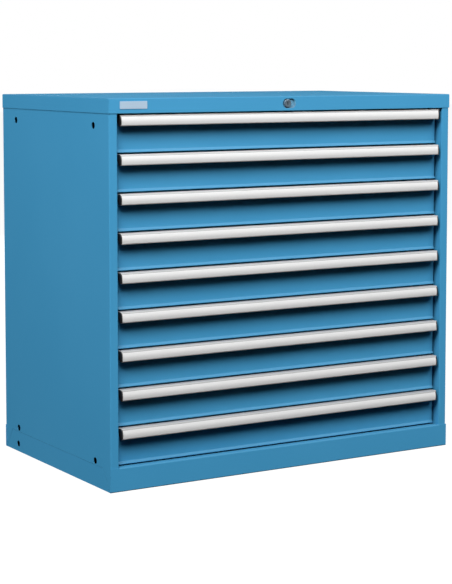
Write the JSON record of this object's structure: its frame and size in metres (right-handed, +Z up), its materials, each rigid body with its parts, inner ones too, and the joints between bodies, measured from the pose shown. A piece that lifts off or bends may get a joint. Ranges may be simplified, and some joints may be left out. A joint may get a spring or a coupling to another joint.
{
  "type": "drawer tool cabinet",
  "caption": "Floor-standing sheet-steel cabinet with full-width drawers on telescopic roller slides, bar handles with label strips, and one central lock.",
  "frame": {"origin": "on the floor, under the middle of the cabinet's box", "axes": "+X to the right along the front, -Y out of the front, +Z up"},
  "size_m": [1.075, 0.646, 1],
  "materials": {
    "shell_paint": "fine-texture satin light blue",
    "drawer_paint": "fine-texture satin light blue",
    "handle_aluminium": "satin anodised, with black plastic end caps",
    "label_white": "white strip under a clear cover",
    "zinc_steel": "bright zinc plated",
    "bright_steel": "plain rivets",
    "lock_chrome": "polished nickel",
    "nameplate": "pale bare plate",
    "slide_plastic": "black moulded"
  },
  "bodies": {
    "housing": {"side_panel_left": "shell_paint", "side_panel_right": "shell_paint", "back_panel": "shell_paint", "back_rivets": "bright_steel", "top_cover": "shell_paint", "base_pan": "shell_paint", "uprights": "zinc_steel", "cabinet_rails": "zinc_steel", "cross_member": "shell_paint", "nameplate": "nameplate", "lock_cylinder": "lock_chrome", "lock_bar_guides": "slide_plastic"},
    "lock_barrel": {"lock_plug": "lock_chrome", "lock_cam": "zinc_steel"},
    "lock_bar": {"lock_bar": "zinc_steel"},
    "drawer_1": {"drawer_1_front": "drawer_paint", "drawer_1_tray": "drawer_paint", "drawer_1_handle": "handle_aluminium", "drawer_1_label": "label_white"},
    "slides_1": {"drawer_1_slides": "zinc_steel"},
    "drawer_2": {"drawer_2_front": "drawer_paint", "drawer_2_tray": "drawer_paint", "drawer_2_handle": "handle_aluminium", "drawer_2_label": "label_white"},
    "slides_2": {"drawer_2_slides": "zinc_steel"},
    "drawer_3": {"drawer_3_front": "drawer_paint", "drawer_3_tray": "drawer_paint", "drawer_3_handle": "handle_aluminium", "drawer_3_label": "label_white"},
    "slides_3": {"drawer_3_slides": "zinc_steel"},
    "drawer_4": {"drawer_4_front": "drawer_paint", "drawer_4_tray": "drawer_paint", "drawer_4_handle": "handle_aluminium", "drawer_4_label": "label_white"},
    "slides_4": {"drawer_4_slides": "zinc_steel"},
    "drawer_5": {"drawer_5_front": "drawer_paint", "drawer_5_tray": "drawer_paint", "drawer_5_handle": "handle_aluminium", "drawer_5_label": "label_white"},
    "slides_5": {"drawer_5_slides": "zinc_steel"},
    "drawer_6": {"drawer_6_front": "drawer_paint", "drawer_6_tray": "drawer_paint", "drawer_6_handle": "handle_aluminium", "drawer_6_label": "label_white"},
    "slides_6": {"drawer_6_slides": "zinc_steel"},
    "drawer_7": {"drawer_7_front": "drawer_paint", "drawer_7_tray": "drawer_paint", "drawer_7_handle": "handle_aluminium", "drawer_7_label": "label_white"},
    "slides_7": {"drawer_7_slides": "zinc_steel"},
    "drawer_8": {"drawer_8_front": "drawer_paint", "drawer_8_tray": "drawer_paint", "drawer_8_handle": "handle_aluminium", "drawer_8_label": "label_white"},
    "slides_8": {"drawer_8_slides": "zinc_steel"},
    "drawer_9": {"drawer_9_front": "drawer_paint", "drawer_9_tray": "drawer_paint", "drawer_9_handle": "handle_aluminium", "drawer_9_label": "label_white"},
    "slides_9": {"drawer_9_slides": "zinc_steel"}
  },
  "joints": [
    {"name": "lock_turn", "type": "hinge", "parent": "housing", "child": "lock_barrel", "pos_m": [-0.0045, -0.322, 0.981], "axis": [0, 1, 0], "range_deg": [0, 90]},
    {"name": "lock_bar_shift", "type": "slide", "parent": "housing", "child": "lock_bar", "axis": [-1, 0, 0], "range_m": [0, 0.014]},
    {"name": "drawer_1_slide", "type": "slide", "parent": "housing", "child": "drawer_1", "axis": [0, -1, 0], "range_m": [0, 0.56]},
    {"name": "slides_1_slide", "type": "slide", "parent": "housing", "child": "slides_1", "axis": [0, -1, 0], "range_m": [0, 0.28]},
    {"name": "drawer_2_slide", "type": "slide", "parent": "housing", "child": "drawer_2", "axis": [0, -1, 0], "range_m": [0, 0.56]},
    {"name": "slides_2_slide", "type": "slide", "parent": "housing", "child": "slides_2", "axis": [0, -1, 0], "range_m": [0, 0.28]},
    {"name": "drawer_3_slide", "type": "slide", "parent": "housing", "child": "drawer_3", "axis": [0, -1, 0], "range_m": [0, 0.56]},
    {"name": "slides_3_slide", "type": "slide", "parent": "housing", "child": "slides_3", "axis": [0, -1, 0], "range_m": [0, 0.28]},
    {"name": "drawer_4_slide", "type": "slide", "parent": "housing", "child": "drawer_4", "axis": [0, -1, 0], "range_m": [0, 0.56]},
    {"name": "slides_4_slide", "type": "slide", "parent": "housing", "child": "slides_4", "axis": [0, -1, 0], "range_m": [0, 0.28]},
    {"name": "drawer_5_slide", "type": "slide", "parent": "housing", "child": "drawer_5", "axis": [0, -1, 0], "range_m": [0, 0.56]},
    {"name": "slides_5_slide", "type": "slide", "parent": "housing", "child": "slides_5", "axis": [0, -1, 0], "range_m": [0, 0.28]},
    {"name": "drawer_6_slide", "type": "slide", "parent": "housing", "child": "drawer_6", "axis": [0, -1, 0], "range_m": [0, 0.56]},
    {"name": "slides_6_slide", "type": "slide", "parent": "housing", "child": "slides_6", "axis": [0, -1, 0], "range_m": [0, 0.28]},
    {"name": "drawer_7_slide", "type": "slide", "parent": "housing", "child": "drawer_7", "axis": [0, -1, 0], "range_m": [0, 0.56]},
    {"name": "slides_7_slide", "type": "slide", "parent": "housing", "child": "slides_7", "axis": [0, -1, 0], "range_m": [0, 0.28]},
    {"name": "drawer_8_slide", "type": "slide", "parent": "housing", "child": "drawer_8", "axis": [0, -1, 0], "range_m": [0, 0.56]},
    {"name": "slides_8_slide", "type": "slide", "parent": "housing", "child": "slides_8", "axis": [0, -1, 0], "range_m": [0, 0.28]},
    {"name": "drawer_9_slide", "type": "slide", "parent": "housing", "child": "drawer_9", "axis": [0, -1, 0], "range_m": [0, 0.56]},
    {"name": "slides_9_slide", "type": "slide", "parent": "housing", "child": "slides_9", "axis": [0, -1, 0], "range_m": [0, 0.28]}
  ],
  "couplings": [
    {"joint": "lock_turn", "follows": "lock_bar_shift", "rad_per_m": 112.19},
    {"joint": "slides_1_slide", "follows": "drawer_1_slide", "ratio": 0.5},
    {"joint": "slides_2_slide", "follows": "drawer_2_slide", "ratio": 0.5},
    {"joint": "slides_3_slide", "follows": "drawer_3_slide", "ratio": 0.5},
    {"joint": "slides_4_slide", "follows": "drawer_4_slide", "ratio": 0.5},
    {"joint": "slides_5_slide", "follows": "drawer_5_slide", "ratio": 0.5},
    {"joint": "slides_6_slide", "follows": "drawer_6_slide", "ratio": 0.5},
    {"joint": "slides_7_slide", "follows": "drawer_7_slide", "ratio": 0.5},
    {"joint": "slides_8_slide", "follows": "drawer_8_slide", "ratio": 0.5},
    {"joint": "slides_9_slide", "follows": "drawer_9_slide", "ratio": 0.5}
  ]
}
